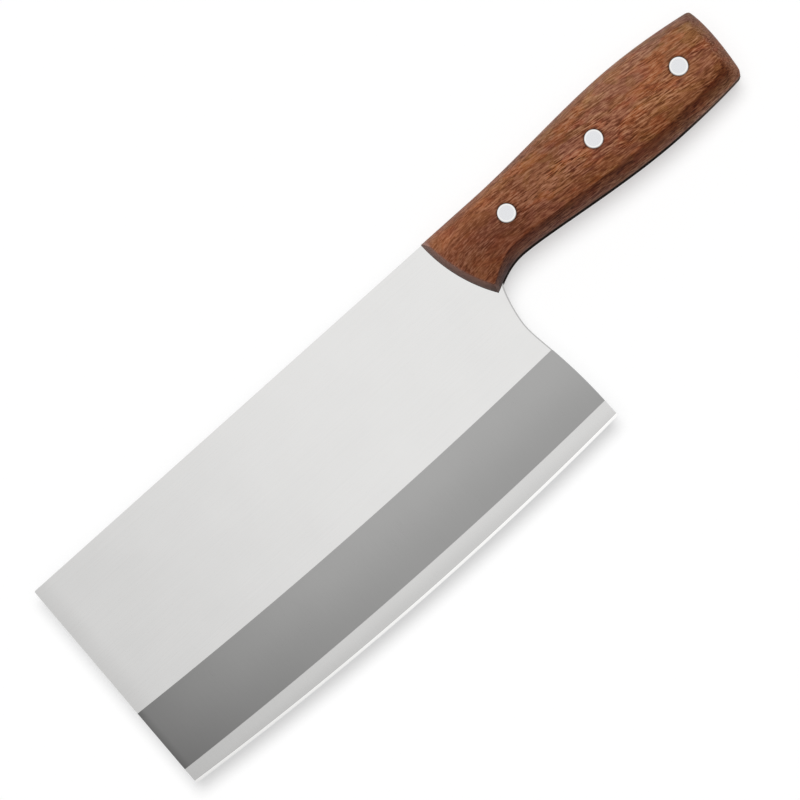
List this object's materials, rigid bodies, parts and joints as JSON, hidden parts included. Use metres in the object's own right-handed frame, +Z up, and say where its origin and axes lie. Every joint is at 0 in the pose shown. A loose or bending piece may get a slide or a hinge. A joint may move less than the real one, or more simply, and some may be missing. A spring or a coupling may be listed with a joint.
{
  "type": "slicing cleaver",
  "caption": "Tall rectangular slicing cleaver with a gently curved, thinly ground edge, a hollow finger notch behind the heel and a full tang between riveted wooden scales.",
  "frame": {"origin": "middle of the underside of the knife's box, as the knife lies level on the flat of its back scale", "axes": "+X along the knife from the tip to the butt of the handle, the cutting edge faces -Y and the spine +Y, +Z up out of the front side"},
  "size_m": [0.3074, 0.0956, 0.0192],
  "materials": {
    "blade_steel": "fine satin on the flat, darker ground band above a pale edge bevel",
    "handle_wood": "oiled reddish-brown hardwood with short dark pores",
    "rivet_steel": "bright, flat sanded heads"
  },
  "bodies": {
    "root": {"blade_with_tang": "blade_steel", "front_scale": "handle_wood", "back_scale": "handle_wood", "front_rivet_pin": "rivet_steel", "front_rivet_tube": "rivet_steel", "middle_rivet_pin": "rivet_steel", "middle_rivet_tube": "rivet_steel", "rear_rivet_pin": "rivet_steel", "rear_rivet_tube": "rivet_steel"}
  },
  "joints": []
}
